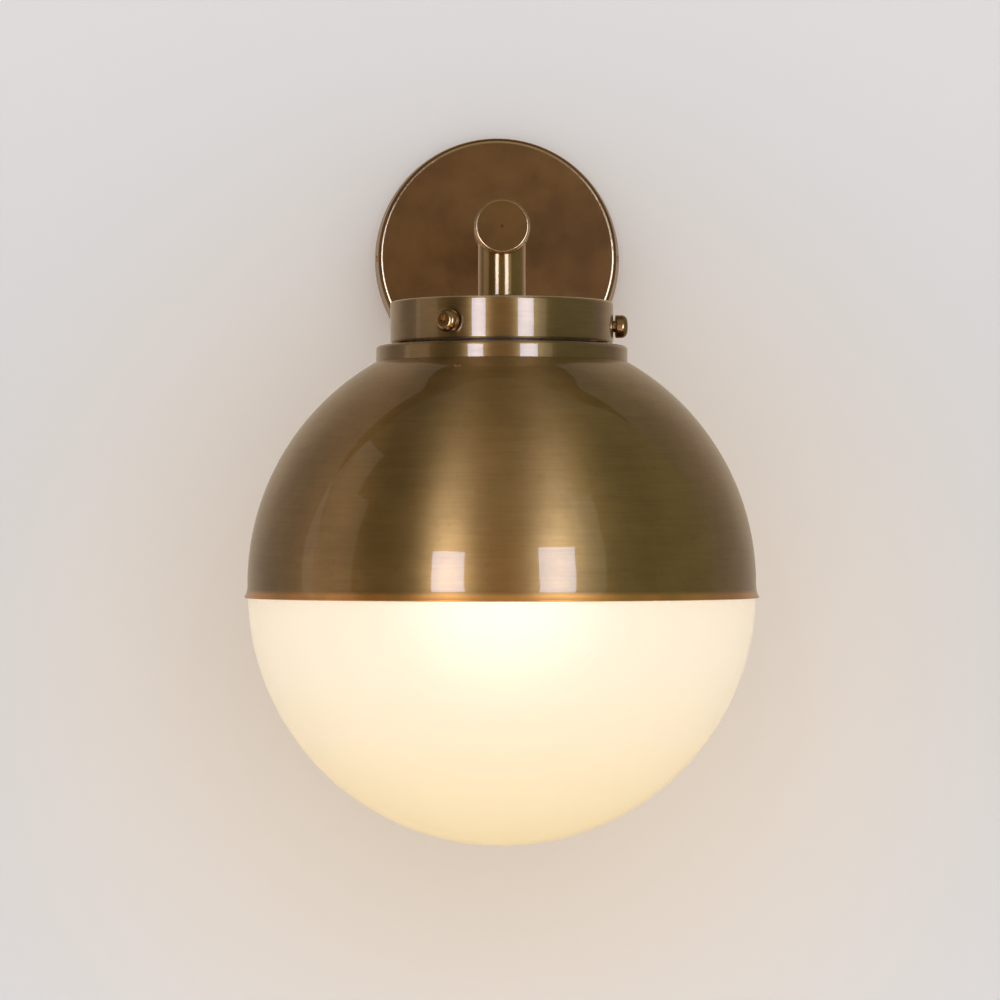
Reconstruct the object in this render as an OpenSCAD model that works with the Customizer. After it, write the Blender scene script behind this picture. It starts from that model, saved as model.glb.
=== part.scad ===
// Globe wall light: an opal glass globe under a spun brass dome, hung from a
// three-screw gallery on a stem, an elbow, an arm and a round wall plate.
// Origin: centre of the wall plate's back, on the wall and on the arm's axis.
// +X is to the right of someone facing the wall, +Y goes into the wall, +Z is up.

/* [Reach and drop] */
// Distance from the wall to the axis of the stem and globe
reach = 170; // [140:1:220]
// Drop from the arm's axis to the gallery's top face
stem_drop = 29.1; // [27:0.1:60]

/* [Wall plate] */
// Diameter of the wall plate where it meets the wall
plate_rim_d = 107.2; // [104:0.2:130]
// How much smaller its front face is, in diameter
plate_taper = 3.8; // [2:0.2:8]
// Depth of the wall plate, from the wall to its front face
plate_depth = 18; // [17:0.5:28]
// Sheet thickness of the wall plate
plate_wall = 1.2; // [0.8:0.1:1.6]
// Radius of its rounded front edge
plate_edge_r = 2; // [1:0.1:3]

/* [Wall bracket] */
// Width of the bracket's level strip
bracket_w = 24; // [20:1:28]
// Width of the bracket's upright strip
upright_w = 22; // [18:1:26]
// Length of the bracket's upright strip
upright_l = 74; // [70:1:84]
// Thickness of the bracket's steel
bracket_t = 2; // [1.5:0.1:2.5]
// Centre distance of the two wall screw slots
slot_spacing = 51; // [46:1:56]
// Length of a wall screw slot, end to end
slot_l = 12; // [8:0.5:14]
// Width of a wall screw slot
slot_w = 4.6; // [4:0.1:6]
// Diameter of the cable hole in the bracket
cable_hole_d = 18; // [12:0.5:20]
// Width of the ears that take the side screws
ear_w = 14; // [10:1:18]

/* [Side screws] */
// Diameter of the headless side screws
side_screw_d = 3; // [2.5:0.1:4]
// Length of the side screws
side_screw_l = 7.5; // [6.5:0.1:9]
// How far a side screw's end stands out of the wall plate
side_proud = 0.3; // [0:0.1:0.8]
// Width of the slot in a side screw's end
side_slot_w = 0.6; // [0.4:0.1:0.8]

/* [Arm and elbow] */
// Outer diameter of the arm tube
arm_d = 16; // [14:0.1:17]
// Wall of the arm tube
arm_wall = 1.5; // [1:0.1:1.8]
// Diameter of the elbow
elbow_d = 22; // [21.5:0.1:24]
// How far the elbow's face stands in front of the stem's axis
elbow_front = 14; // [13:0.1:20]
// How far the elbow reaches back from the stem's axis
elbow_back = 12; // [11:0.1:20]
// Diameter of the elbow's wire bore
elbow_bore_d = 12; // [10:0.1:13]
// Depth of the arm tube's seat in the elbow
arm_seat = 5; // [3:0.1:6]
// Diameter of the elbow cap's disc
elbow_cap_d = 20.9; // [18:0.1:21.4]
// Thickness of the elbow cap's disc
elbow_cap_t = 1.6; // [1.2:0.1:4]
// Radius of the elbow cap's rounded edge
cap_edge_r = 0.6; // [0.3:0.1:1]
// Length of the elbow cap's plug
elbow_plug_l = 5; // [3:0.1:6]
// Radius of the elbow's rounded edges
elbow_edge_r = 0.4; // [0.2:0.1:1.8]

/* [Stem] */
// Outer diameter of the stem
stem_d = 18.7; // [17:0.1:20]
// Wall of the stem
stem_wall = 1.5; // [1:0.1:2.5]
// Diameter of the flange under the stem
flange_d = 31.6; // [28:0.1:40]
// Height of the flange at the stem
flange_h = 2.6; // [2.2:0.1:4]
// Height of the flange's outer edge
flange_edge_h = 1; // [0.6:0.1:1.6]

/* [Threaded tubes and nuts] */
// Outer diameter of the threaded tubes
tube_d = 10; // [8:0.1:10.5]
// Bore of the threaded tubes
tube_bore_d = 7; // [5:0.1:7.5]
// Width of the lock nuts across their flats
nut_af = 14; // [13:0.1:15]
// Thickness of the lock nuts
nut_t = 3; // [2.5:0.1:4]
// Diameter of the washer behind the wall plate
arm_washer_d = 22; // [18:0.5:26]
// Diameter of the washer under the gallery's top
gallery_washer_d = 30; // [20:0.5:40]
// Thickness of the washers
washer_t = 1; // [0.8:0.1:1.5]

/* [Gallery] */
// Outer diameter of the gallery
gallery_d = 88; // [86:0.2:94]
// Height of the gallery
gallery_h = 16.4; // [15.5:0.1:24]
// Sheet thickness of the gallery
gallery_wall = 1.2; // [0.8:0.1:1.5]
// Radius of the gallery's rounded top edge
gallery_edge_r = 1; // [0.6:0.1:3]
// Width of the hem that is turned in at the gallery's foot
hem_w = 2.4; // [1.8:0.1:2.6]
// Height of that hem
hem_h = 2.5; // [2:0.1:2.6]
// Drop from the gallery's top to its screws' axes
screw_drop = 9.4; // [8.8:0.1:9.5]
// Angle of the first screw from straight ahead, to the right
screw_angle = -27.5; // [-60:0.5:60]

/* [Gallery screws] */
// Shank diameter of the gallery screws
screw_d = 4.7; // [4:0.1:5]
// Head diameter of the gallery screws
screw_head_d = 9.1; // [8:0.1:10]
// Head length of the gallery screws
screw_head_l = 4.7; // [4.2:0.1:7]
// Diameter of the flat end of the head
screw_face_d = 4.4; // [4:0.1:6]
// Bare shank between the gallery and the head
screw_gap = 1; // [0.5:0.1:2]
// Hexagon socket of the head, across its flats
screw_hex = 3; // [2:0.1:3.2]
// Depth of that socket
screw_hex_l = 2.4; // [1:0.1:3]
// Diameter of the threaded bushes behind the gallery wall
bush_d = 8.6; // [7.5:0.1:8.8]
// Length of those bushes
bush_l = 2.2; // [1.5:0.1:2.4]

/* [Glass globe] */
// Diameter of the glass globe
globe_d = 200; // [180:1:240]
// How much the hidden shoulder is drawn in, in radius
shoulder_step = 1.3; // [1:0.1:3]
// Height over which the shoulder draws in
shoulder_h = 3.3; // [2.5:0.1:6]
// Thickness of the glass
glass_wall = 2.7; // [2:0.1:3.5]
// Outer diameter of the glass neck
neck_d = 73; // [66:0.2:74]
// Diameter of the lip on the neck
lip_d = 79; // [77:0.2:80]
// Height of that lip
lip_h = 3.5; // [2.5:0.1:4]

/* [Dome and collar] */
// Sheet thickness of the dome
dome_wall = 0.8; // [0.6:0.05:1]
// Gap between the dome and the glass shoulder
dome_gap = 0.6; // [0.4:0.05:2]
// How far the dome's centre lies above the globe's
dome_lift = 3.3; // [2.5:0.1:6]
// Diameter of the hole in the dome's top
dome_hole_d = 80.6; // [80.2:0.1:84]
// Height of the flare at the rim, below the dome's centre
flare_h = 5.4; // [4:0.1:8]
// Gap between the flared rim and the glass
rim_gap = 0.3; // [0.25:0.05:2]
// Diameter of the bead along the rim
bead_d = 1; // [0.8:0.05:1.2]
// Outer diameter of the collar
collar_d = 99.2; // [96:0.2:106]
// Height of the collar's side above the dome
collar_h = 6.3; // [5.8:0.1:12]
// Sheet thickness of the collar
collar_wall = 1.2; // [0.8:0.1:1.6]
// Width of the collar's flat top
collar_top_w = 7.4; // [5:0.1:8]
// Radius of the collar's rounded top edge
collar_edge_r = 1.5; // [1:0.1:3]
// Gap between the gallery and the collar
collar_gap = 1; // [0.5:0.1:4]
// Width of the silicone ring between the dome and the glass
seal_w = 5.5; // [3:0.1:8]

/* [Lampholder and bulb] */
// Outer diameter of the lampholder
holder_d = 39; // [36:0.1:42]
// Height of the lampholder's cap
holder_cap_h = 16; // [14:0.1:20]
// Height of the lampholder's skirt
holder_skirt_h = 40; // [38:0.1:46]
// Wall of the lampholder's cap and of its skirt round the core
holder_wall = 2.2; // [1.6:0.1:3]
// Height of the lampholder's core
core_h = 13; // [10:0.1:14]
// Outer diameter of the bulb's screw cap
bulb_cap_d = 26.2; // [25:0.1:26.6]
// Height of the bulb's screw cap
bulb_cap_h = 24; // [20:0.1:26]
// Diameter of the bulb's envelope
bulb_d = 60; // [45:0.5:62]
// Length of the bulb from its tip to its far end
bulb_l = 108; // [100:0.5:125]
// Wall of the bulb's envelope
bulb_wall = 1; // [0.8:0.1:1.5]

/* [Terminals] */
// Width of the terminal block
block_w = 27; // [24:0.5:32]
// Height of the terminal block
block_h = 16; // [14:0.5:18]
// Depth of the terminal block
block_depth = 12; // [10:0.5:12.5]
// Distance between the terminals
terminal_pitch = 9; // [8:0.1:10]
// Outer diameter of a terminal tube
terminal_d = 4.4; // [4:0.1:5]
// Shank diameter of the earth screw and the block's screw
small_screw_d = 3; // [2.5:0.1:4]

/* [Hidden] */
$fn = 96;
small_fn = 48;

// Clearances
thread_gap = 0.05;
seat_gap = 0.03;
hang_gap = 0.15;
free_gap = 0.3;
past = 1;

// Wall plate and bracket
plate_rim_r = plate_rim_d / 2;
plate_face_r = plate_rim_r - plate_taper / 2;
side_screw_depth = plate_depth / 2;
ear_depth = side_screw_depth + 4;
function plate_r(depth) = plate_rim_r - plate_taper / 2 * depth / plate_depth;
ear_x = sqrt(pow(plate_r(ear_depth) - plate_wall, 2) - pow(ear_w / 2, 2)) - free_gap;
strip_half_l = ear_x - 7;
side_screw_x = plate_r(side_screw_depth) + side_proud;
side_hole_d = side_screw_d + 2 * free_gap;

// Arm, elbow and stem, as distances from the wall and heights
arm_end = reach - elbow_back + arm_seat;
arm_bore_d = arm_d - 2 * arm_wall;
arm_bush_l = 12;
plate_inside = plate_depth - plate_wall;
arm_thread_front = plate_depth + arm_bush_l - past;
arm_thread_back = plate_inside - washer_t - nut_t - 2;
elbow_r = elbow_d / 2;
elbow_body_end = reach + elbow_front - elbow_cap_t;
thread_hole_d = tube_d + 2 * thread_gap;
plate_hole_d = tube_d + 2 * free_gap;

// Gallery and what hangs from it
gallery_top = -stem_drop;
gallery_bottom = gallery_top - gallery_h;
gallery_r = gallery_d / 2;
gallery_bore_r = gallery_r - gallery_wall;
gallery_washer_z = gallery_top - gallery_wall;
gallery_nut_z = gallery_washer_z - washer_t;
holder_top = gallery_nut_z - nut_t;
screw_z = gallery_top - screw_drop;
screw_angles = [for (k = [0 : 2]) screw_angle + 120 * k];
lip_z = screw_z + screw_d / 2 + hang_gap;
lip_r = lip_d / 2;
neck_r = neck_d / 2;
screw_tip_r = neck_r + free_gap;
screw_seat_r = gallery_r + screw_gap;

// Globe and dome
globe_r = globe_d / 2;
shoulder_r = globe_r - shoulder_step;
dome_r = shoulder_r + dome_gap + dome_wall;
rim_r = globe_r + rim_gap + bead_d;
collar_r = collar_d / 2;
collar_top = gallery_bottom - collar_gap;
dome_z = collar_top - collar_h - sqrt(pow(dome_r, 2) - pow(collar_r, 2));
globe_z = dome_z - dome_lift;
dome_hole_r = dome_hole_d / 2;
seal_start_r = dome_hole_r + seat_gap;
dome_steps = 36;
flare_steps = 6;
bead_steps = 8;
globe_steps = 16;
lip_steps = 5;
foot_angle = 2;

// Lampholder and bulb, as heights
holder_r = holder_d / 2;
holder_bottom = holder_top - holder_cap_h - holder_skirt_h;
core_top = holder_top - holder_cap_h - seat_gap;
core_bottom = core_top - core_h;
contact_t = 1.6;
contact_r = 3;
bulb_tip = core_bottom - contact_t - free_gap;
bulb_cap_r = bulb_cap_d / 2;
bulb_cap_wall = 0.6;
bulb_contact_t = 0.8;
bulb_insulator_h = 2.4;
bulb_cap_top = bulb_tip - bulb_contact_t - bulb_insulator_h;
bulb_r = bulb_d / 2;
bulb_centre = bulb_tip - bulb_l + bulb_r;
bulb_neck_r = bulb_cap_r - bulb_cap_wall - thread_gap;
bulb_neck_overlap = 5;
bulb_cap_bottom = bulb_cap_top - bulb_cap_h;
holder_bore_r = bulb_cap_r + free_gap;

// Terminals
block_z = bracket_w / 2 + block_h / 2 + 3;
block_front = bracket_t + block_depth;
earth_z = -(bracket_w / 2 + 12);
block_screw_x = terminal_pitch / 2;
block_seat = block_front - 2.5;
small_hole_d = small_screw_d + 2 * thread_gap;
small_head_d = small_screw_d + 2;
small_head_l = 2;
screw_start = 0.2;

brass = [0.55, 0.43, 0.27];
bright_brass = [0.72, 0.56, 0.32];
dark_bronze = [0.32, 0.24, 0.16];
steel = [0.68, 0.69, 0.70];
opal = [0.99, 0.93, 0.80];

function unit(v) = v / norm(v);

// Waste outside a rounded corner: the edges leave the corner along edge_a and edge_b
module round_off(corner, edge_a, edge_b, r) {
    a = unit(edge_a);
    b = unit(edge_b);
    half = acos(a * b) / 2;
    centre = corner + unit(a + b) * r / sin(half);
    touch_a = corner + a * r / tan(half);
    touch_b = corner + b * r / tan(half);
    difference() {
        polygon([
            centre,
            touch_a + unit(touch_a - centre) * past,
            corner - unit(a + b) * 2 * past,
            touch_b + unit(touch_b - centre) * past,
        ]);
        translate(centre) circle(r);
    }
}

// Turns local +Z away from the wall, so heights become distances from it
module from_wall() {
    rotate([90, 0, 0]) children();
}

module on_stem_axis() {
    translate([0, -reach, 0]) children();
}

// Turns local +Z outwards from the stem's axis, at a screw's angle and height
module at_screw(angle) {
    translate([0, -reach, screw_z]) rotate([0, 0, angle]) rotate([90, 0, 0]) children();
}

module ring(outer_d, inner_d, h) {
    difference() {
        cylinder(d = outer_d, h = h);
        translate([0, 0, -past]) cylinder(d = inner_d, h = h + 2 * past);
    }
}

module lock_nut() {
    difference() {
        intersection() {
            cylinder(d = nut_af / cos(30), h = nut_t, $fn = 6);
            translate([0, 0, nut_t - 0.6]) nut_chamfer();
        }
        translate([0, 0, -past]) cylinder(d = thread_hole_d, h = nut_t + 2 * past, $fn = small_fn);
    }
}

// A cone that bevels one face of a nut
module nut_chamfer() {
    translate([0, 0, -2 * nut_t]) {
        cylinder(r1 = nut_af / 2 + 4 * nut_t, r2 = nut_af / 2, h = 2 * nut_t + 0.6, $fn = small_fn);
    }
}

module wall_plate() {
    front = [plate_face_r, plate_depth];
    side = [plate_taper / 2, -plate_depth];
    color(brass) from_wall() difference() {
        rotate_extrude() difference() {
            polygon([[0, 0], [plate_rim_r, 0], front, [0, plate_depth]]);
            round_off(front, side, [-1, 0], plate_edge_r);
            polygon([
                [0, -past],
                [plate_r(-past) - plate_wall, -past],
                [plate_r(plate_inside) - plate_wall, plate_inside],
                [0, plate_inside],
            ]);
        }
        cylinder(d = plate_hole_d, h = plate_depth + past, $fn = small_fn);
        translate([0, 0, side_screw_depth]) rotate([0, 90, 0]) {
            cylinder(d = side_hole_d, h = plate_rim_d, center = true, $fn = small_fn);
        }
    }
}

module bracket_outline() {
    difference() {
        union() {
            square([2 * strip_half_l, bracket_w], center = true);
            square([2 * (ear_x - bracket_t), ear_w], center = true);
            square([upright_w, upright_l], center = true);
        }
        circle(d = cable_hole_d);
        for (side = [-1, 1]) translate([side * slot_spacing / 2, 0]) wall_slot();
        translate([block_screw_x, block_z]) circle(d = small_hole_d, $fn = small_fn);
        translate([0, earth_z]) circle(d = small_hole_d, $fn = small_fn);
    }
}

module wall_slot() {
    square([slot_l - slot_w, slot_w], center = true);
    for (side = [-1, 1]) {
        translate([side * (slot_l - slot_w) / 2, 0]) circle(d = slot_w, $fn = small_fn);
    }
}

// One ear, bent forwards from the strip's end, with its bend rounded on the outside
module bracket_ear() {
    difference() {
        translate([0, 0, -ear_w / 2]) linear_extrude(ear_w) difference() {
            translate([ear_x - bracket_t, -ear_depth]) square([bracket_t, ear_depth]);
            round_off([ear_x, 0], [-1, 0], [0, -1], bracket_t - 0.2);
        }
        translate([0, -side_screw_depth, 0]) rotate([0, 90, 0]) {
            cylinder(d = side_screw_d + 2 * thread_gap, h = plate_rim_d, $fn = small_fn);
        }
    }
}

module wall_bracket() {
    color(steel) {
        from_wall() linear_extrude(bracket_t) bracket_outline();
        bracket_ear();
        mirror([1, 0, 0]) bracket_ear();
    }
}

// A headless screw with its slotted end outwards along +X
module side_screw() {
    slot_depth = 0.9;
    end_edge_r = 0.5;
    color(dark_bronze) translate([side_screw_x, -side_screw_depth, 0]) rotate([0, 90, 0]) difference() {
        rotate_extrude($fn = small_fn) difference() {
            translate([0, -side_screw_l]) square([side_screw_d / 2, side_screw_l]);
            round_off([side_screw_d / 2, 0], [-1, 0], [0, -1], end_edge_r);
        }
        translate([-side_screw_d, -side_slot_w / 2, -slot_depth]) {
            cube([2 * side_screw_d, side_slot_w, slot_depth + past]);
        }
    }
}

module side_screw_right() {
    side_screw();
}

module side_screw_left() {
    mirror([1, 0, 0]) side_screw();
}

module arm_tube() {
    color(brass) from_wall() translate([0, 0, plate_depth]) {
        ring(arm_d, arm_bore_d, arm_end - plate_depth);
    }
}

module arm_bush() {
    color(brass) from_wall() translate([0, 0, plate_depth]) {
        ring(arm_bore_d - 2 * seat_gap, thread_hole_d, arm_bush_l, $fn = small_fn);
    }
}

module arm_threaded_tube() {
    color(bright_brass) from_wall() translate([0, 0, arm_thread_back]) {
        ring(tube_d, tube_bore_d, arm_thread_front - arm_thread_back, $fn = small_fn);
    }
}

module arm_washer() {
    color(steel) from_wall() translate([0, 0, plate_inside - washer_t]) {
        ring(arm_washer_d, plate_hole_d, washer_t, $fn = small_fn);
    }
}

module arm_lock_nut() {
    color(steel) from_wall() translate([0, 0, plate_inside - washer_t]) {
        mirror([0, 0, 1]) lock_nut();
    }
}

module elbow() {
    start = reach - elbow_back;
    color(bright_brass) difference() {
        from_wall() rotate_extrude() difference() {
            translate([0, start]) square([elbow_r, elbow_body_end - start]);
            round_off([elbow_r, start], [-1, 0], [0, 1], elbow_edge_r);
            round_off([elbow_r, elbow_body_end], [-1, 0], [0, -1], elbow_edge_r);
            translate([0, start - past]) square([arm_d / 2 + seat_gap, arm_seat + past]);
            translate([0, start]) square([elbow_bore_d / 2, elbow_body_end]);
        }
        on_stem_axis() translate([0, 0, -elbow_d]) {
            cylinder(d = thread_hole_d, h = elbow_d, $fn = small_fn);
        }
    }
}

// A flat disc on the elbow's front, with a centre mark and a plug in the elbow's bore
module elbow_cap() {
    face = elbow_body_end + elbow_cap_t;
    cap_r = elbow_cap_d / 2;
    mark_r = 0.5;
    color(bright_brass) from_wall() rotate_extrude() difference() {
        union() {
            translate([0, elbow_body_end]) square([cap_r, elbow_cap_t]);
            translate([0, elbow_body_end - elbow_plug_l]) {
                square([elbow_bore_d / 2 - thread_gap, elbow_plug_l]);
            }
        }
        round_off([cap_r, face], [-1, 0], [0, -1], cap_edge_r);
        polygon([[0, face - mark_r], [mark_r + past, face + past], [0, face + past]]);
    }
}

module stem_tube() {
    foot = gallery_top + flange_h;
    color(bright_brass) difference() {
        on_stem_axis() translate([0, 0, foot]) ring(stem_d, stem_d - 2 * stem_wall, -foot);
        from_wall() cylinder(r = elbow_r + seat_gap, h = reach + elbow_d);
    }
}

// Low ring under the stem, with a cove between its edge and the stem
module stem_flange() {
    stem_r = stem_d / 2;
    rise = flange_h - flange_edge_h;
    color(brass) on_stem_axis() translate([0, 0, gallery_top]) rotate_extrude() {
        difference() {
            polygon([
                [thread_hole_d / 2, 0],
                [flange_d / 2, 0],
                [flange_d / 2, flange_edge_h],
                [stem_r + 1.5 * rise, flange_edge_h + 0.3 * rise],
                [stem_r + 0.3 * rise, flange_edge_h + 0.6 * rise],
                [stem_r, flange_h],
                [thread_hole_d / 2, flange_h],
            ]);
            round_off([flange_d / 2, flange_edge_h], [0, -1], [-1, 0.1], 0.4);
        }
    }
}

module stem_threaded_tube() {
    top = -elbow_bore_d / 2 + past;
    bottom = holder_top - 7;
    color(bright_brass) on_stem_axis() translate([0, 0, bottom]) {
        ring(tube_d, tube_bore_d, top - bottom, $fn = small_fn);
    }
}

module gallery() {
    inner_corner_r = max(0.3, gallery_edge_r - gallery_wall);
    color(brass) difference() {
        on_stem_axis() rotate_extrude() difference() {
            translate([0, gallery_bottom]) square([gallery_r, gallery_h]);
            round_off([gallery_r, gallery_top], [-1, 0], [0, -1], gallery_edge_r);
            round_off([gallery_r, gallery_bottom], [-1, 0], [0, 1], hem_w * 0.45);
            difference() {
                translate([0, gallery_bottom]) square([gallery_bore_r, gallery_h - gallery_wall]);
                translate([gallery_r - hem_w, gallery_bottom]) square([hem_w, hem_h]);
                round_off(
                    [gallery_bore_r, gallery_top - gallery_wall], [-1, 0], [0, -1], inner_corner_r
                );
            }
            translate([0, gallery_bottom - past]) square([gallery_r - hem_w, hem_h + past]);
            round_off([gallery_r - hem_w, gallery_bottom], [1, 0], [0, 1], hem_w * 0.45);
        }
        on_stem_axis() translate([0, 0, gallery_bottom]) {
            cylinder(d = plate_hole_d, h = gallery_h + past, $fn = small_fn);
        }
        for (angle = screw_angles) at_screw(angle) {
            translate([0, 0, gallery_r - hem_w - past]) {
                cylinder(d = screw_d + 2 * free_gap, h = hem_w + 2 * past, $fn = small_fn);
            }
        }
    }
}

module gallery_washer() {
    color(steel) on_stem_axis() translate([0, 0, gallery_washer_z - washer_t]) {
        ring(gallery_washer_d, plate_hole_d, washer_t, $fn = small_fn);
    }
}

module gallery_lock_nut() {
    color(steel) on_stem_axis() translate([0, 0, gallery_nut_z]) mirror([0, 0, 1]) lock_nut();
}

// Three threaded bushes, shaped to the inside of the gallery wall
module gallery_bushes() {
    start = gallery_bore_r - bush_l;
    color(brass) for (angle = screw_angles) {
        intersection() {
            at_screw(angle) translate([0, 0, start]) {
                ring(bush_d, screw_d + 2 * thread_gap, 2 * bush_l, $fn = small_fn);
            }
            on_stem_axis() translate([0, 0, gallery_bottom]) {
                cylinder(r = gallery_bore_r - seat_gap, h = gallery_h);
            }
        }
    }
}

// A screw with a round-shouldered head, pointing outwards from the stem's axis
module gallery_screw(angle) {
    shoulder = (screw_head_d - screw_face_d) / 2;
    color(dark_bronze) at_screw(angle) difference() {
        rotate_extrude($fn = small_fn) difference() {
            union() {
                translate([0, screw_seat_r]) square([screw_head_d / 2, screw_head_l]);
                translate([0, screw_tip_r]) square([screw_d / 2, screw_seat_r - screw_tip_r + past]);
            }
            round_off(
                [screw_head_d / 2, screw_seat_r + screw_head_l], [-1, 0], [0, -1], shoulder
            );
            round_off([screw_head_d / 2, screw_seat_r], [-1, 0], [0, 1], 0.4);
        }
        translate([0, 0, screw_seat_r + screw_head_l - screw_hex_l]) {
            cylinder(d = screw_hex / cos(30), h = screw_hex_l + past, $fn = 6);
        }
    }
}

module gallery_screw_1() {
    gallery_screw(screw_angles[0]);
}

module gallery_screw_2() {
    gallery_screw(screw_angles[1]);
}

module gallery_screw_3() {
    gallery_screw(screw_angles[2]);
}

// Points down one side of the dome: from its hole along the sphere, then out along the flare
function dome_side(inset) = concat(
    [for (k = [0 : dome_steps]) dome_arc_point(dome_r - inset, k / dome_steps)],
    [for (k = [1 : flare_steps]) flare_point(k / flare_steps) - [inset, 0]]
);
function dome_arc_point(r, share) = r * arc_at(acos(dome_hole_r / r) * (1 - share));
function flare_point(share) = [dome_r + (rim_r - dome_r) * sin(90 * share), -flare_h * share];
function arc_at(angle) = [cos(angle), sin(angle)];

module dome() {
    bead_centre = [rim_r - bead_d / 2, -flare_h];
    outside = dome_side(0);
    inside = dome_side(dome_wall);
    bead = [for (k = [1 : bead_steps]) bead_centre + bead_d / 2 * arc_at(-180 * k / bead_steps)];
    color(brass) on_stem_axis() translate([0, 0, dome_z]) rotate_extrude($fn = 180) {
        polygon(concat(outside, bead, [for (k = [len(inside) - 1 : -1 : 0]) inside[k]]));
    }
}

module dome_collar() {
    top_inner_r = collar_r - collar_top_w;
    color(brass) on_stem_axis() rotate_extrude($fn = 180) difference() {
        translate([top_inner_r, collar_top - 2 * collar_h]) square([collar_top_w, 2 * collar_h]);
        round_off([collar_r, collar_top], [-1, 0], [0, -1], collar_edge_r);
        translate([0, collar_top - 3 * collar_h]) {
            square([collar_r - collar_wall, 3 * collar_h - collar_wall]);
        }
        translate([0, dome_z]) circle(dome_r + seat_gap, $fn = 180);
    }
}

// Silicone ring that carries the dome on the glass shoulder
module dome_seal() {
    color([0.85, 0.85, 0.83]) on_stem_axis() rotate_extrude($fn = 180) intersection() {
        difference() {
            translate([0, dome_z]) circle(dome_r - dome_wall - seat_gap, $fn = 180);
            translate([0, globe_z]) circle(shoulder_r + seat_gap, $fn = 180);
        }
        translate([seal_start_r, globe_z]) square([seal_w, 2 * globe_r]);
    }
}

// Points up one side of the globe: from its small flat foot, past the shoulder, to the neck
function globe_side(inset) = concat(
    [[0, (inset - globe_r) * cos(foot_angle)]],
    [for (k = [0 : globe_steps]) (globe_r - inset) * arc_at(lerp(foot_angle - 90, 0, k / globe_steps))],
    [for (k = [0 : globe_steps]) shoulder_point(shoulder_r - inset, neck_r - inset, k / globe_steps)]
);
function shoulder_point(r, end_r, share) = r * arc_at(lerp(asin(shoulder_h / r), acos(end_r / r), share));
function lerp(start, end, share) = start + (end - start) * share;

// Points round one corner of the lip, from one angle to the next
function lip_corner(height, r, start) = [
    for (k = [0 : lip_steps]) [lip_r - r, height] + r * arc_at(start + 90 * k / lip_steps)
];

module glass_globe() {
    neck_top = lip_z + lip_h - globe_z;
    foot_r = lip_h * 0.3;
    head_r = lip_h * 0.4;
    inside = globe_side(glass_wall);
    color(opal, 0.8) on_stem_axis() translate([0, 0, globe_z]) rotate_extrude($fn = 180) {
        polygon(concat(
            globe_side(0),
            [[neck_r, neck_top - lip_h]],
            lip_corner(neck_top - lip_h + foot_r, foot_r, -90),
            lip_corner(neck_top - head_r, head_r, 0),
            [[neck_r - glass_wall, neck_top]],
            [for (k = [len(inside) - 1 : -1 : 0]) inside[k]]
        ));
    }
}

module lampholder_cap() {
    entry_r = thread_hole_d / 2 + holder_wall;
    entry_h = 7;
    color([0.16, 0.15, 0.15]) on_stem_axis() translate([0, 0, holder_top - holder_cap_h]) {
        rotate_extrude() difference() {
            polygon([
                [0, 0],
                [holder_r, 0],
                [holder_r, holder_cap_h - entry_h - 4],
                [holder_r - 4, holder_cap_h - entry_h],
                [entry_r + 1, holder_cap_h - entry_h + 1],
                [entry_r, holder_cap_h - entry_h + 2],
                [entry_r, holder_cap_h],
                [0, holder_cap_h],
            ]);
            translate([0, -past]) square([thread_hole_d / 2, holder_cap_h + 2 * past]);
            polygon([
                [0, -past],
                [holder_r - holder_wall, -past],
                [holder_r - holder_wall, holder_cap_h - entry_h - 4 - holder_wall / 2],
                [holder_r - 4 - holder_wall / 2, holder_cap_h - entry_h - holder_wall],
                [0, holder_cap_h - entry_h - holder_wall],
            ]);
        }
    }
}

module lampholder_core() {
    color([0.93, 0.92, 0.88]) on_stem_axis() translate([0, 0, core_bottom]) {
        difference() {
            cylinder(r = holder_r - holder_wall - seat_gap, h = core_h);
            for (side = [-1, 1]) translate([side * holder_r / 2, 0, -past]) {
                cylinder(d = small_screw_d, h = core_h + 2 * past, $fn = small_fn);
            }
        }
    }
}

module lampholder_contact() {
    color(bright_brass) on_stem_axis() translate([0, 0, core_bottom - contact_t]) {
        cylinder(r = contact_r, h = contact_t, $fn = small_fn);
    }
}

module lampholder_skirt() {
    step_h = core_bottom - seat_gap - holder_bottom;
    rib_count = 4;
    rib_pitch = 3;
    color([0.16, 0.15, 0.15]) on_stem_axis() translate([0, 0, holder_bottom]) {
        rotate_extrude() difference() {
            polygon([
                [0, 0],
                [holder_r - 3, 0],
                [holder_r - 2, 1],
                [holder_r - 2, 8],
                [holder_r, 10],
                [holder_r, holder_skirt_h],
                [0, holder_skirt_h],
            ]);
            translate([0, -past]) square([holder_bore_r, holder_skirt_h]);
            translate([0, step_h]) square([holder_r - holder_wall, holder_skirt_h]);
            for (k = [1 : rib_count]) {
                translate([holder_r - 0.5, 10 + rib_pitch * k]) square([past, rib_pitch / 2]);
            }
        }
    }
}

module bulb_cap() {
    color([0.78, 0.78, 0.76]) on_stem_axis() translate([0, 0, bulb_cap_bottom]) {
        ring(bulb_cap_d, bulb_cap_d - 2 * bulb_cap_wall, bulb_cap_h);
    }
}

module bulb_insulator() {
    color([0.1, 0.1, 0.1]) on_stem_axis() translate([0, 0, bulb_cap_top]) {
        cylinder(r1 = bulb_cap_r - 0.2, r2 = contact_r + 2, h = bulb_insulator_h);
    }
}

module bulb_contact() {
    color(steel) on_stem_axis() translate([0, 0, bulb_tip - bulb_contact_t]) {
        cylinder(r1 = contact_r + 1.5, r2 = contact_r, h = bulb_contact_t, $fn = small_fn);
    }
}

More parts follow.
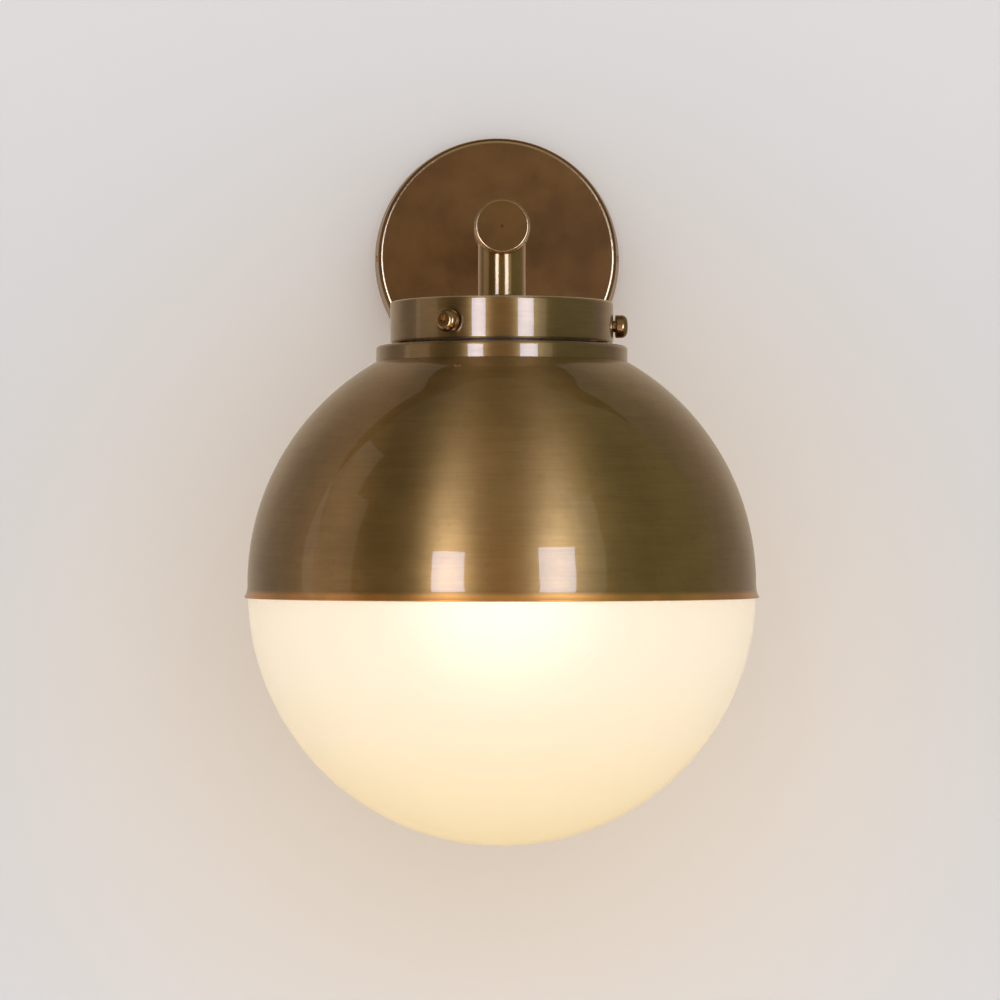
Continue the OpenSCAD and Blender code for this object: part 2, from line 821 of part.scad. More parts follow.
// Half section of the bulb's envelope, drawn in by inset: a round end and a tapering neck
module envelope_body(inset, neck_top) {
    r = bulb_r - inset;
    neck_r = bulb_neck_r - inset;
    neck_foot = bulb_cap_bottom - 2 - bulb_centre;
    lean = 35;
    intersection() {
        circle(r);
        translate([0, -r]) square([r, 2 * r]);
    }
    polygon([
        [0, 0],
        [r * cos(lean), r * sin(lean)],
        [neck_r + 2, neck_foot - 4],
        [neck_r, neck_foot],
        [neck_r, neck_top],
        [0, neck_top],
    ]);
}

module bulb_envelope() {
    neck_top = bulb_cap_bottom + bulb_neck_overlap - bulb_centre;
    color([1, 0.97, 0.9]) on_stem_axis() translate([0, 0, bulb_centre]) {
        rotate_extrude() difference() {
            envelope_body(0, neck_top);
            envelope_body(bulb_wall, neck_top + past);
        }
    }
}

// The three terminals' places along the block
terminal_x = [for (k = [-1 : 1]) k * terminal_pitch];

module terminal_block() {
    slot_gap = terminal_pitch - terminal_d - 2.4;
    color([0.93, 0.93, 0.9]) difference() {
        translate([-block_w / 2, -block_front, block_z - block_h / 2]) {
            cube([block_w, block_depth, block_h]);
        }
        for (x = terminal_x) {
            translate([x, -bracket_t - block_depth / 2, block_z - block_h]) {
                cylinder(d = terminal_d + 2 * seat_gap, h = 2 * block_h, $fn = small_fn);
            }
            for (side = [-1, 1]) translate([x, 0, block_z + side * block_h / 4]) {
                from_wall() translate([0, 0, bracket_t + block_depth / 2]) {
                    cylinder(d = small_screw_d, h = block_depth, $fn = small_fn);
                }
            }
        }
        for (side = [-1, 1]) {
            translate([side * terminal_pitch / 2 - slot_gap / 2, -block_front - past, block_z]) {
                translate([0, 0, -block_h]) cube([slot_gap, 2 + past, 2 * block_h]);
            }
        }
        translate([block_screw_x, 0, block_z]) from_wall() {
            cylinder(d = small_hole_d, h = 2 * block_front, $fn = small_fn);
            translate([0, 0, block_seat]) {
                cylinder(d = small_head_d + 0.2, h = block_depth, $fn = small_fn);
            }
        }
    }
}

module terminal_tubes() {
    color(bright_brass) for (x = terminal_x) {
        translate([x, -bracket_t - block_depth / 2, block_z - block_h / 2 + past]) {
            ring(terminal_d, terminal_d - 1.6, block_h - 2 * past, $fn = small_fn);
        }
    }
}

module terminal_screws() {
    start = bracket_t + block_depth / 2 + terminal_d / 2 + seat_gap;
    color(steel) for (x = terminal_x) for (side = [-1, 1]) {
        translate([x, 0, block_z + side * block_h / 4]) from_wall() {
            translate([0, 0, start]) {
                cylinder(d = small_screw_d - 2 * thread_gap, h = 2.2, $fn = small_fn);
            }
        }
    }
}

// A small screw with a round head, from just inside the bracket's back to its seat
module small_screw(seat) {
    from_wall() {
        translate([0, 0, screw_start]) {
            cylinder(d = small_screw_d, h = seat - screw_start, $fn = small_fn);
        }
        translate([0, 0, seat]) difference() {
            cylinder(d = small_head_d, h = small_head_l, $fn = small_fn);
            translate([-small_head_d, -0.4, small_head_l / 2]) {
                cube([2 * small_head_d, 0.8, small_head_l]);
            }
        }
    }
}

module block_screw() {
    color(steel) translate([block_screw_x, 0, block_z]) small_screw(block_seat);
}

module earth_screw() {
    color(steel) translate([0, 0, earth_z]) small_screw(bracket_t + washer_t);
}

module earth_washer() {
    color(bright_brass) translate([0, 0, earth_z]) from_wall() translate([0, 0, bracket_t]) {
        ring(small_head_d + 3, small_hole_d, washer_t, $fn = small_fn);
    }
}

wall_plate();
wall_bracket();
side_screw_left();
side_screw_right();
arm_tube();
arm_bush();
arm_threaded_tube();
arm_washer();
arm_lock_nut();
elbow();
elbow_cap();
stem_tube();
stem_flange();
stem_threaded_tube();
gallery();
gallery_washer();
gallery_lock_nut();
gallery_bushes();
gallery_screw_1();
gallery_screw_2();
gallery_screw_3();
dome();
dome_collar();
dome_seal();
glass_globe();
lampholder_cap();
lampholder_core();
lampholder_contact();
lampholder_skirt();
bulb_cap();
bulb_insulator();
bulb_contact();
bulb_envelope();
terminal_block();
terminal_tubes();
terminal_screws();
block_screw();
earth_screw();
earth_washer();
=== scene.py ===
import math

import bmesh
import bpy
from mathutils import Matrix, Vector


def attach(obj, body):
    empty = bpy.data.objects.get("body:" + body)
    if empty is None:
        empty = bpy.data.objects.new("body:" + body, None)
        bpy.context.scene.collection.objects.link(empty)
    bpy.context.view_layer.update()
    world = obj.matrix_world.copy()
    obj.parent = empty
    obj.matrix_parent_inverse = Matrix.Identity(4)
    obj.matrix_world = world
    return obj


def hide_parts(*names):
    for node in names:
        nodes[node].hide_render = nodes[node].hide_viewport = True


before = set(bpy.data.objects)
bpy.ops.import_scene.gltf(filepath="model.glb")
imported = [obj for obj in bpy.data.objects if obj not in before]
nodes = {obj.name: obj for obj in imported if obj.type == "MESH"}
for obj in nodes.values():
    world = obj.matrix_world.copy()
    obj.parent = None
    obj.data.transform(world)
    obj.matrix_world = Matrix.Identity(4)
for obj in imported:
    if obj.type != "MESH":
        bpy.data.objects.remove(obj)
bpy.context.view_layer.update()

MM = 0.001
BODY = "light"

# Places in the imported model, in millimetres from the centre of the wall plate's back
REACH = 170.0
GALLERY_TOP, GALLERY_BOTTOM = -29.1, -45.5
LIP_Z, DOME_Z, GLOBE_Z, RIM_Z, PALE_LINE_Z = -36.0, -139.74, -143.04, -145.3, -198.0
STEM_AXIS = (0.0, -REACH * MM, 0.0)
WALL_AXIS = (0.0, 0.0, 0.0)


# ---------------------------------------------------------------- mesh tools

def rounded(corners, steps=6):
    """A closed outline from corners (x, y, radius), with each corner rounded by its radius."""
    points = []
    count = len(corners)
    for k, (x, y, radius) in enumerate(corners):
        here = Vector((x, y))
        if radius <= 0:
            points.append(here)
            continue
        before = (Vector(corners[k - 1][:2]) - here).normalized()
        after = (Vector(corners[(k + 1) % count][:2]) - here).normalized()
        half = before.angle(after) / 2
        reach = radius / math.tan(half)
        start, end = here + before * reach, here + after * reach
        centre = here + (before + after).normalized() * radius / math.sin(half)
        a, b = start - centre, end - centre
        turn = a.angle_signed(b)
        for s in range(steps + 1):
            angle = -turn * s / steps
            c, n = math.cos(angle), math.sin(angle)
            points.append(centre + Vector((a.x * c - a.y * n, a.x * n + a.y * c)))
    return [(p.x, p.y) for p in points]


def arc(radius, start, end, steps, centre=(0.0, 0.0)):
    """Points along a circle's arc, from one angle to another, in degrees."""
    angles = [math.radians(start + (end - start) * k / steps) for k in range(steps + 1)]
    return [(centre[0] + radius * math.cos(a), centre[1] + radius * math.sin(a)) for a in angles]


def circle_angles(steps):
    return [2 * math.pi * k / steps for k in range(steps)]


def turned_mesh(name, outline, steps, place):
    """Turns a closed outline of (radius, height) pairs about +Z, and moves it to its place.

    The outline is in millimetres. Points on the axis become one vertex.
    """
    build = bmesh.new()
    rings = []
    for r, h in outline:
        if r < 1e-6:
            rings.append([build.verts.new((0, 0, h * MM))])
            continue
        rings.append([
            build.verts.new((r * MM * math.sin(a), -r * MM * math.cos(a), h * MM))
            for a in circle_angles(steps)
        ])
    for one, two in zip(rings, rings[1:] + rings[:1]):
        for k in range(steps):
            corners = [one[k % len(one)], one[(k + 1) % len(one)],
                       two[(k + 1) % len(two)], two[k % len(two)]]
            unique = list(dict.fromkeys(corners))
            if len(unique) > 2:
                build.faces.new(unique)
    bmesh.ops.recalc_face_normals(build, faces=build.faces)
    bmesh.ops.transform(build, matrix=place, verts=build.verts)
    mesh = bpy.data.meshes.new(name)
    build.to_mesh(mesh)
    build.free()
    mesh.shade_smooth()
    mesh.set_sharp_from_angle(angle=math.radians(35))
    return mesh


def add_turned(name, outline, steps, height_mm, material, replaces):
    """Adds a turned piece on the stem's axis, with the CAD node that it stands for."""
    place = Matrix.Translation((0, STEM_AXIS[1], height_mm * MM))
    mesh = turned_mesh(name, outline, steps, place)
    mesh.materials.append(material)
    piece = bpy.data.objects.new(name, mesh)
    bpy.context.scene.collection.objects.link(piece)
    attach(piece, BODY)
    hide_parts(replaces)


# ---------------------------------------------------------------- materials

class Graph:
    """The node tree of a new material, or of the world given, with short ways to add nodes."""

    def __init__(self, name, world=None):
        self.material = world or bpy.data.materials.new(name)
        self.material.use_nodes = True
        self.tree = self.material.node_tree
        self.shader = self.tree.nodes["Background" if world else "Principled BSDF"]

    def add(self, kind, inputs=None, **settings):
        node = self.tree.nodes.new("ShaderNode" + kind)
        for key, value in settings.items():
            setattr(node, key, value)
        for key, value in (inputs or {}).items():
            self.put(node.inputs[key], value)
        return node

    def put(self, socket, value):
        if isinstance(value, bpy.types.NodeSocket):
            self.tree.links.new(value, socket)
        else:
            socket.default_value = value

    def set(self, **values):
        for key, value in values.items():
            self.put(self.shader.inputs[key.replace("_", " ")], value)

    def math(self, operation, a, b=0.0):
        return self.add("Math", {0: a, 1: b}, operation=operation).outputs[0]

    def mix(self, share, a, b):
        node = self.add("Mix", data_type="RGBA", clamp_factor=True)
        self.put(node.inputs["Factor"], share)
        self.put(node.inputs["A"], a)
        self.put(node.inputs["B"], b)
        return node.outputs["Result"]

    def either(self, share, one, two):
        """One shader, or by its share the other."""
        node = self.add("MixShader")
        for socket, value in zip(node.inputs, (share, one, two)):
            self.put(socket, value)
        return node.outputs[0]

    def span(self, value, low, high, to_low=0.0, to_high=1.0):
        inputs = {"Value": value, "From Min": low, "From Max": high,
                  "To Min": to_low, "To Max": to_high}
        return self.add("MapRange", inputs, interpolation_type="SMOOTHSTEP").outputs["Result"]

    def place(self):
        return self.add("TexCoord").outputs["Object"]

    def noise(self, scale, detail=3.0, rough=0.5):
        inputs = {"Vector": self.place(), "Scale": scale, "Detail": detail, "Roughness": rough}
        return self.add("TexNoise", inputs).outputs["Fac"]

    def polar(self, centre, axis):
        """Both sides square to an axis, the radius from it and the height along it."""
        moved = self.add("VectorMath", {0: self.place(), 1: centre}, operation="SUBTRACT")
        parts = self.add("SeparateXYZ", {0: moved.outputs[0]}).outputs
        a = parts["X"]
        b, h = (parts["Y"], parts["Z"]) if axis == "Z" else (parts["Z"], parts["Y"])
        squares = self.math("ADD", self.math("MULTIPLY", a, a), self.math("MULTIPLY", b, b))
        return a, b, self.math("MAXIMUM", self.math("SQRT", squares), 1e-5), h

    def line(self, value, place_mm, half_mm):
        """1 on a thin line at that place, fading to 0 at its half width."""
        off = self.math("ABSOLUTE", self.math("SUBTRACT", value, place_mm * MM))
        return self.span(off, half_mm * 0.35 * MM, half_mm * MM, 1.0, 0.0)

    def rings(self, centre, axis, across_scale, round_scale):
        """Noise drawn out round an axis, as a spinning lathe leaves it."""
        a, b, r, h = self.polar(centre, axis)
        across = self.add("CombineXYZ", {
            "X": self.math("MULTIPLY", r, across_scale),
            "Y": self.math("MULTIPLY", self.math("DIVIDE", a, r), round_scale),
            "Z": self.math("MULTIPLY", h, across_scale),
        }).outputs[0]
        turn = self.math("MULTIPLY", self.math("DIVIDE", b, r), round_scale)
        inputs = {"Vector": across, "W": turn, "Scale": 1.0, "Detail": 2.0, "Roughness": 0.6}
        return self.add("TexNoise", inputs, noise_dimensions="4D").outputs["Fac"]

    def bump(self, height, depth, strength):
        inputs = {"Height": height, "Distance": depth, "Strength": strength}
        return self.add("Bump", inputs).outputs["Normal"]


# Turning marks, by their scale across and round; clouds, specks and the lacquer's waves by scale,
# detail and roughness of their noise; and depths in metres
FINE_MARKS, BROAD_MARKS = (1100.0, 6.0), (210.0, 2.2)
CLOUDS, SPECKS, WAVES = (34.0, 6.0, 0.62), (260.0, 3.0, 0.55), (45.0, 1.5)
MARK_DEPTH, WAVE_DEPTH, GRAIN_DEPTH = 0.00002, 0.00012, 0.00002
LACQUER_ROUGH, STAIN_SHARE, ROUGH_RANGE = 0.03, 0.22, 0.055


def brass(name, light, dark, centre=STEM_AXIS, axis="Z", rough=0.3, spread=0.0, coat=1.0,
          coat_ior=1.53, mottle=0.5, brush=0.5, wave=0.0, painted_edges=(), painted_edge_colour=(0.88, 0.66, 0.43)):
    """Aged, lacquered brass, turned on a lathe.

    spread is how far the turning marks draw out its reflections, wave how uneven its lacquer is.
    The last two arguments give bands painted bright on edges, as painted highlights or a painted
    reflection, and their colour: radius or height, place, half width (both in mm) and share.
    """
    g = Graph(name)
    fine = g.rings(centre, axis, *FINE_MARKS)
    broad = g.rings(centre, axis, *BROAD_MARKS)
    cloud = g.noise(*CLOUDS)
    speck = g.noise(*SPECKS)
    tone = g.math("ADD", g.math("MULTIPLY", g.span(cloud, 0.32, 0.68), mottle),
                  g.math("MULTIPLY", g.span(broad, 0.3, 0.7), (1 - mottle) * 0.6))
    tone = g.math("ADD", tone, g.math("MULTIPLY", g.math("SUBTRACT", fine, 0.5), brush))
    colour = g.mix(tone, (*light, 1), (*dark, 1))
    stain = g.span(speck, 0.55, 0.75, 0.0, STAIN_SHARE * mottle)
    colour = g.mix(stain, colour, (dark[0] * 0.55, dark[1] * 0.5, dark[2] * 0.45, 1))
    # Bands on edges painted bright: painted highlights on rounded edges, and at the dome's rim a
    # painted reflection of the lit glass below it
    if painted_edges:
        _, _, radius, height = g.polar(centre, axis)
        for kind, place_mm, half_mm, share in painted_edges:
            edge = g.line(radius if kind == "radius" else height, place_mm, half_mm)
            painted_shine = g.math("MULTIPLY", edge, g.span(cloud, 0.30, 0.65, share * 0.55, share))
            colour = g.mix(painted_shine, colour, (*painted_edge_colour, 1))
    uneven = g.math("MULTIPLY", g.math("ADD", cloud, g.math("MULTIPLY", fine, brush)), ROUGH_RANGE)
    g.set(Base_Color=colour, Metallic=1.0, Roughness=g.math("ADD", rough - 0.04, uneven),
          Coat_Weight=coat, Coat_Roughness=LACQUER_ROUGH, Coat_IOR=coat_ior)
    if spread:
        tangent = g.add("Tangent", direction_type="RADIAL", axis=axis)
        g.set(Anisotropic=spread, Anisotropic_Rotation=0.25, Tangent=tangent.outputs[0])
    g.set(Normal=g.bump(fine, MARK_DEPTH * brush, 0.6))
    if wave:
        g.set(Coat_Normal=g.bump(g.noise(*WAVES), WAVE_DEPTH * wave, 1.0))
    return g.material


def plain(name, colour, rough, metallic=0.0, grain=400.0):
    """A smooth material with a faint grain in its colour, roughness and surface."""
    g = Graph(name)
    cloud = g.noise(60.0, 4.0)
    fine = g.noise(grain, 2.0)
    shade = tuple(c * 0.85 for c in colour)
    g.set(Base_Color=g.mix(g.span(cloud, 0.3, 0.7), (*colour, 1), (*shade, 1)), Metallic=metallic,
          Roughness=g.span(fine, 0.2, 0.8, rough * 0.85, rough * 1.15),
          Normal=g.bump(fine, GRAIN_DEPTH, 0.6))
    return g.material


def lit_glass(name):
    """Frosted opal glass, glowing from the lamp inside it, whiter towards the lamp's height."""
    g = Graph(name)
    height = g.add("SeparateXYZ", {0: g.place()}).outputs["Z"]
    glow = g.mix(g.span(height, -0.250, -0.160), (0.90, 0.70, 0.34, 1), (0.88, 0.80, 0.66, 1))
    # A thin paler band in the glass's glow at one height
    pale_line = g.math("MULTIPLY", g.line(height, PALE_LINE_Z, 0.45), 0.12)
    g.set(Base_Color=(0.76, 0.70, 0.60, 1), Roughness=0.5, IOR=1.45, Transmission_Weight=0.6,
          Emission_Color=g.mix(pale_line, glow, (1.5, 1.5, 1.3, 1)), Emission_Strength=0.27,
          Normal=g.bump(g.noise(1500.0, 2.0), 0.00001, 0.4))
    return g.material


def lit_bulb(name):
    g = Graph(name)
    g.set(Base_Color=(0.9, 0.88, 0.84, 1), Roughness=0.4,
          Emission_Color=(1.0, 0.885, 0.84, 1), Emission_Strength=1.5)
    return g.material


LIGHT_BRASS = (0.42, 0.242, 0.088)
DARK_BRASS = (0.30, 0.172, 0.060)
# The orange band at the dome's rim is a painted reflection of the lit glass below it
dome_brass = brass(
    "dome_brass", LIGHT_BRASS, DARK_BRASS, rough=0.40, spread=0.87, coat=0.85, mottle=0.6,
    brush=0.9, wave=1.0, painted_edges=[("height", RIM_Z, 3.4, 1.0)], painted_edge_colour=(0.98, 0.44, 0.12))
# The bright bands at the gallery's top and bottom edges are painted highlights
gallery_brass = brass(
    "gallery_brass", (0.365, 0.215, 0.082), (0.255, 0.148, 0.052), rough=0.40, spread=0.95,
    coat=1.0, coat_ior=1.58, mottle=0.4, brush=0.8, wave=0.5,
    painted_edges=[("height", GALLERY_TOP, 0.7, 0.8), ("height", GALLERY_BOTTOM, 0.5, 0.5)])
# The pale ring near the plate's front edge is a painted highlight on its rounded edge
plate_brass = brass(
    "plate_brass", (0.295, 0.140, 0.049), (0.165, 0.075, 0.028), WALL_AXIS, "Y", rough=0.25,
    coat=0.15, mottle=0.8, painted_edges=[("radius", 50.25, 0.6, 0.55)])
stem_brass = brass(
    "stem_brass", LIGHT_BRASS, DARK_BRASS, rough=0.30, spread=1.0, coat=0.85, mottle=0.3)
# The pale rings at the edges of the elbow's cap and body are painted highlights
elbow_brass = brass(
    "elbow_brass", (0.345, 0.170, 0.058), (0.20, 0.096, 0.034), WALL_AXIS, "Y", rough=0.22,
    coat=0.4, mottle=0.8, painted_edges=[("radius", 10.15, 0.35, 0.65), ("radius", 10.95, 0.2, 0.4)])
inner_brass = brass(
    "inner_brass", (0.62, 0.42, 0.17), (0.45, 0.28, 0.1), rough=0.3, coat=0.0, mottle=0.3)
screw_bronze = brass(
    "screw_bronze", (0.42, 0.24, 0.10), (0.26, 0.14, 0.055), rough=0.2, coat=0.6, mottle=0.5)
steel = plain("zinc_steel", (0.60, 0.60, 0.58), 0.32, metallic=1.0, grain=900.0)
black_plastic = plain("black_plastic", (0.022, 0.021, 0.02), 0.38)
ceramic = plain("ceramic", (0.78, 0.76, 0.70), 0.3)
block_plastic = plain("block_plastic", (0.80, 0.79, 0.74), 0.42)
silicone = plain("silicone", (0.66, 0.65, 0.62), 0.5)
bulb_metal = plain("bulb_metal", (0.70, 0.69, 0.66), 0.28, metallic=1.0)
black_glass = plain("black_glass", (0.015, 0.015, 0.015), 0.12)
opal = lit_glass("opal_glass")
# The globe's neck: dark and unlit, painted shade where it shows in the gallery's gap
neck_painted_shade = plain("opal_neck", (0.17, 0.14, 0.11), 0.3)
lamp_glass = lit_bulb("lit_bulb")

CAD_LOOKS = (
    (steel, "wall_bracket arm_washer arm_lock_nut gallery_washer gallery_lock_nut "
            "terminal_screws block_screw earth_screw"),
    (screw_bronze, "side_screw_left side_screw_right "
                   "gallery_screw_1 gallery_screw_2 gallery_screw_3"),
    (inner_brass, "arm_bush arm_threaded_tube stem_threaded_tube gallery_bushes "
                  "lampholder_contact terminal_tubes earth_washer"),
    (stem_brass, "arm_tube stem_tube"),
    (plate_brass, "wall_plate"),
    (elbow_brass, "elbow elbow_cap"),
    (gallery_brass, "stem_flange gallery dome_collar"),
    (dome_brass, "dome"),
    (silicone, "dome_seal"),
    (black_plastic, "lampholder_cap lampholder_skirt"),
    (ceramic, "lampholder_core"),
    (block_plastic, "terminal_block"),
    (bulb_metal, "bulb_cap bulb_contact"),
    (black_glass, "bulb_insulator"),
    (lamp_glass, "bulb_envelope"),
    (opal, "glass_globe"),
)
for material, names in CAD_LOOKS:
    for name in names.split():
        slots = nodes[name].material_slots
        if not slots:
            nodes[name].data.materials.append(material)
        for slot in slots:
            slot.material = material


# ---------------------------------------------------------------- turned pieces

# Dome: its hole, the sphere, the flare, the bead, and back inside
DOME_R, DOME_WALL, DOME_HOLE_R, RIM_R = 100.1, 0.8, 40.3, 101.3
FLARE_H, FLARE_POWER, FLARE_STEPS, BEAD_R = 5.5, 2.7, 16, 0.4


def dome_side(inset, steps):
    r = DOME_R - inset
    top = math.degrees(math.acos(DOME_HOLE_R / r))
    shares = [k / FLARE_STEPS for k in range(1, FLARE_STEPS + 1)]
    flare = [(r + (RIM_R - DOME_R) * s ** FLARE_POWER, -FLARE_H * s) for s in shares]
    return arc(r, top, 0, steps) + flare


bead = arc(BEAD_R, 0, -180, 10, (RIM_R - BEAD_R, -FLARE_H))[1:]
dome_outline = dome_side(0, 90) + bead + dome_side(DOME_WALL, 60)[::-1]
add_turned("dome_shell", dome_outline, 320, DOME_Z, dome_brass, "dome")

# Globe: a lit body up to its shoulder, and a neck with a lip, coloured dark and unlit as painted
# shade where it shows in the gallery's gap
GLOBE_R, SHOULDER_R, SHOULDER_H, GLASS_WALL = 100.0, 98.7, 3.3, 2.7
NECK_R, LIP_R, LIP_H = 36.5, 39.5, 3.5
LIP_LOW = LIP_Z - GLOBE_Z
LIP_TOP = LIP_LOW + LIP_H


def globe_side(inset, steps):
    small = SHOULDER_R - inset
    low = math.degrees(math.asin(SHOULDER_H / small))
    high = math.degrees(math.acos((NECK_R - inset) / small))
    return arc(GLOBE_R - inset, -90, 0, steps) + arc(small, low, high, steps)


outside, inside = globe_side(0, 80), globe_side(GLASS_WALL, 60)
globe_outline = [(0.0, -GLOBE_R)] + outside[1:] + inside[:0:-1] + [(0.0, GLASS_WALL - GLOBE_R)]
add_turned("opal_globe", globe_outline, 256, GLOBE_Z, opal, "glass_globe")
lip = rounded([(NECK_R, LIP_LOW, 0), (LIP_R, LIP_LOW, LIP_H * 0.3),
               (LIP_R, LIP_TOP, LIP_H * 0.4), (NECK_R - GLASS_WALL, LIP_TOP, 0.8)])
neck_outline = [inside[-1], outside[-1]] + lip
add_turned("opal_neck", neck_outline, 192, GLOBE_Z, neck_painted_shade, "glass_globe")


# ---------------------------------------------------------------- stage

# What polished metal sees of the wall: its end on the right, and its top with a dark band above
WALL_RIGHT, WALL_HIGH, WALL_RISE, BAND_HIGH, BAND_RISE = 0.62, 0.30, 0.32, 0.80, 0.30
# The tones that it sees of the room
FRONT_LOW, FRONT, CEILING = (0.25, 0.225, 0.14), (0.42, 0.38, 0.25), (0.17, 0.155, 0.10)
BAND, LEFT, RIGHT = (0.03, 0.026, 0.012), (0.155, 0.145, 0.085), (0.25, 0.265, 0.17)
BEHIND = (0.36, 0.355, 0.34)


def pale_wall():
    """Pale plaster. Its back is clear, so that the light can be looked at from behind.

    Polished metal sees it dimmer away from the wall plate, and ending on the right and at its top.
    """
    g = Graph("pale_wall")
    spot = g.add("SeparateXYZ", {0: g.place()}).outputs
    # Painted light and shade: round the globe the wall's colour turns warmer and less blue and
    # glows faintly warm, a painted pool of the globe's light with its shadow
    below_globe = {0: g.place(), 1: (0, GLOBE_Z * MM - 0.03, 0)}
    lit = g.add("VectorMath", below_globe, operation="DISTANCE").outputs["Value"]
    glow = g.span(lit, 0.06, 0.30, 1.0, 0.0)
    # Painted shade: the wall's colour is darker level with the globe and paler above and below it
    off = g.math("ABSOLUTE", g.math("SUBTRACT", spot["Y"], GLOBE_Z * MM))
    painted_shading = g.mix(g.span(off, 0.0, 0.30), (0.720, 0.710, 0.705, 1), (0.79, 0.765, 0.755, 1))
    g.set(Base_Color=g.mix(glow, painted_shading, (0.75, 0.68, 0.60, 1)), Roughness=0.9,
          Specular_IOR_Level=0.1, Emission_Color=(1.0, 0.62, 0.32, 1),
          Emission_Strength=g.math("MULTIPLY", glow, 0.085))

    away = g.add("VectorMath", {0: g.place()}, operation="LENGTH").outputs["Value"]
    tint = g.mix(g.span(away, 0.15, 0.38), (0.46, 0.38, 0.28, 1), (0.28, 0.255, 0.21, 1))
    tint = g.mix(g.span(away, 0.50, 1.10), tint, (0.36, 0.32, 0.27, 1))
    aside = g.span(g.math("ABSOLUTE", spot["X"]), 0.10, 0.35)
    for high, rise, tone in ((WALL_HIGH, WALL_RISE, BAND), (BAND_HIGH, BAND_RISE, CEILING)):
        edge = g.math("ADD", g.math("MULTIPLY", aside, rise), high)
        tint = g.mix(g.math("GREATER_THAN", spot["Y"], edge), tint, (*tone, 1))
    tint = g.mix(g.math("GREATER_THAN", spot["X"], WALL_RIGHT), tint, (*RIGHT, 1))
    seen = g.add("Emission", {"Color": tint}).outputs[0]
    front = g.either(g.add("LightPath").outputs["Is Glossy Ray"], g.shader.outputs[0], seen)
    clear = g.add("BsdfTransparent").outputs[0]
    surface = g.either(g.add("NewGeometry").outputs["Backfacing"], front, clear)
    g.put(g.tree.nodes["Material Output"].inputs["Surface"], surface)
    g.material.cycles.emission_sampling = "NONE"
    return g.material


def disc(name, radius, place, material, hole=0.0):
    """A flat disc facing local +Z, with a round hole in its middle if asked for."""
    build = bmesh.new()
    angles = circle_angles(64)

    def ring(r):
        return [build.verts.new((math.cos(a) * r, math.sin(a) * r, 0)) for a in angles]

    outer = ring(radius)
    if hole:
        inner = ring(hole)
        for k in range(len(angles)):
            build.faces.new((outer[k - 1], outer[k], inner[k], inner[k - 1]))
    else:
        build.faces.new(outer)
    mesh = bpy.data.meshes.new(name)
    build.to_mesh(mesh)
    build.free()
    mesh.materials.append(material)
    thing = bpy.data.objects.new(name, mesh)
    thing.matrix_world = place
    bpy.context.scene.collection.objects.link(thing)


FLOOR_Z = -1.4
wall_paint = pale_wall()
disc("wall", 3.0, Matrix.Rotation(math.radians(90), 4, "X"), wall_paint, hole=0.05)
disc("floor", 6.0, Matrix.Translation((0, 0, FLOOR_Z)), wall_paint)


# ---------------------------------------------------------------- lamps and room

def bearing(azimuth, elevation):
    """A direction from the dome, in degrees right of the front and up."""
    a, e = math.radians(azimuth), math.radians(elevation)
    return (math.sin(a) * math.cos(e), -math.cos(a) * math.cos(e), math.sin(e))


def softbox(name, direction, distance, width, height, radiance, colour):
    """A rectangular lamp seen from the dome's centre in that direction, with that radiance."""
    target = Vector((0, STEM_AXIS[1], DOME_Z * MM))
    towards = Vector(direction).normalized()
    data = bpy.data.lights.new(name, "AREA")
    data.shape = "RECTANGLE"
    data.size, data.size_y = width, height
    data.color = colour
    data.energy = radiance * math.pi * width * height
    lamp = bpy.data.objects.new(name, data)
    lamp.location = target + towards * distance
    lamp.rotation_mode = "QUATERNION"
    lamp.rotation_quaternion = towards.to_track_quat("Z", "Y")
    lamp.visible_camera = False
    bpy.context.scene.collection.objects.link(lamp)
    return lamp


# The two studio lamps that the brass shows, each with a lower one that mostly its turning marks
# catch, a warm glow from below and a screen on the right. Each has its azimuth and elevation, its
# width and height, its radiance and its colour.
LAMP_DISTANCE = 2.2
LAMPS = (
    ("lamp_left", (-24.2, 4.3), (0.54, 0.71), 6.5, (0.74, 0.96, 1.48)),
    ("lamp_left_low", (-24.2, -11.5), (0.54, 0.66), 9.0, (0.99, 0.95, 0.92)),
    ("lamp_right", (23.6, 2.7), (0.63, 1.00), 6.1, (0.76, 0.97, 1.48)),
    ("lamp_right_low", (23.6, -13.0), (0.63, 0.60), 5.6, (0.98, 0.97, 1.0)),
    ("glow_below", (-2.0, -32.0), (0.90, 0.60), 1.7, (1.0, 0.48, 0.10)),
    ("screen_right", (40.0, 8.0), (0.42, 2.4), 0.50, (0.97, 1.03, 0.90)),
)
for name, angles, size, radiance, colour in LAMPS:
    lamp = softbox(name, bearing(*angles), LAMP_DISTANCE, *size, radiance, colour)
    lamp.visible_diffuse = False

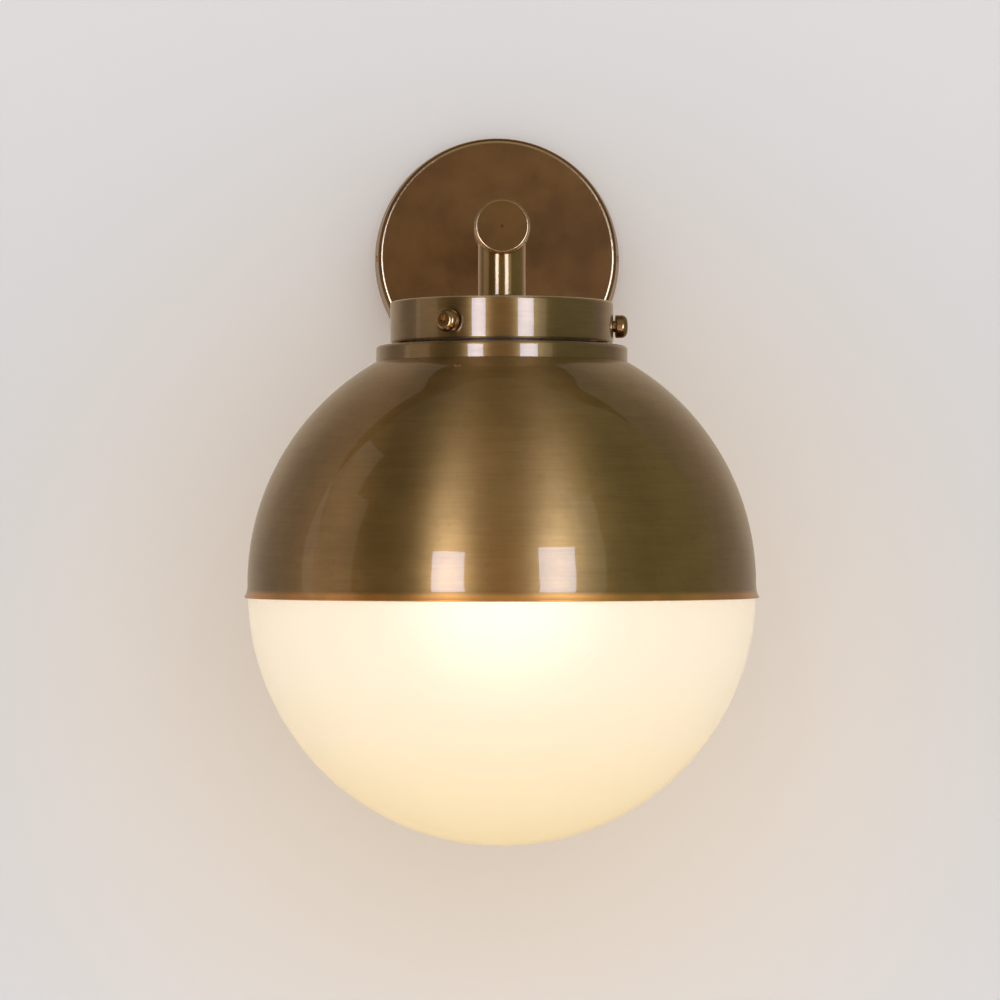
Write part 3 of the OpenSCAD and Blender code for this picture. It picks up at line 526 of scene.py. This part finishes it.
# A broad lamp for what isn't polished
soft = softbox("lamp_soft", (0.05, -0.9, 0.1), 2.4, 1.6, 1.6, 2.3, (1.0, 1.0, 1.0))
soft.visible_glossy = False

# A pale side wall on the left, as the metal sees it, brightest at its far end: how near it comes
# to the light, its width, its lowest and highest points and its radiance
LEFT_WALL = -1.2
SIDE_WALLS = (
    ("side_wall", -0.64, 0.64, -1.4, 0.60, 0.32),
    ("side_wall_end", -0.64, 0.04, -1.4, 0.60, 1.1),
    ("side_wall_top", -0.42, 0.42, 0.60, 1.15, 0.34),
)
for name, near, width, low, high, radiance in SIDE_WALLS:
    side = softbox(name, (-1, 0, 0), -LEFT_WALL, width, high - low, radiance, (1.0, 0.92, 0.84))
    side.location = (LEFT_WALL, near + width / 2, (low + high) / 2)
    side.visible_diffuse = False

# The room: an even fill for plain surfaces, and other tones by direction for polished ones
world = bpy.data.worlds.new("room")
room = Graph("room", world)
facing = room.add("SeparateXYZ", {0: room.add("TexCoord").outputs["Generated"]}).outputs
across, behind, upward = facing["X"], facing["Y"], facing["Z"]
sides = room.mix(room.span(across, -0.3, 0.3), (*LEFT, 1), (*RIGHT, 1))
ahead = room.mix(room.span(upward, 0.20, 0.55), (*FRONT_LOW, 1), (*FRONT, 1))
seen = room.mix(room.span(room.math("ABSOLUTE", across), 0.30, 0.62), ahead, sides)
seen = room.mix(room.span(upward, 0.80, 0.99), seen, (*CEILING, 1))
seen = room.mix(room.span(behind, 0.20, 0.45), seen, (*BEHIND, 1))
polished = room.add("LightPath").outputs["Is Glossy Ray"]
room.set(Color=room.mix(polished, (0.74, 0.745, 0.76, 1), seen))
world.cycles.sampling_method = "NONE"
bpy.context.scene.world = world


# ---------------------------------------------------------------- camera

camera = bpy.data.cameras.new("camera")
camera.sensor_width = 36.0
camera.lens = 136.8
camera.clip_start, camera.clip_end = 0.05, 50
view = bpy.data.objects.new("camera", camera)
view.location = (-0.0185, -1.669, -0.1229)
view.rotation_euler = (math.radians(90.603), 0, math.radians(-0.68))
bpy.context.scene.collection.objects.link(view)
bpy.context.scene.camera = view
bpy.context.scene.view_settings.view_transform = "Standard"
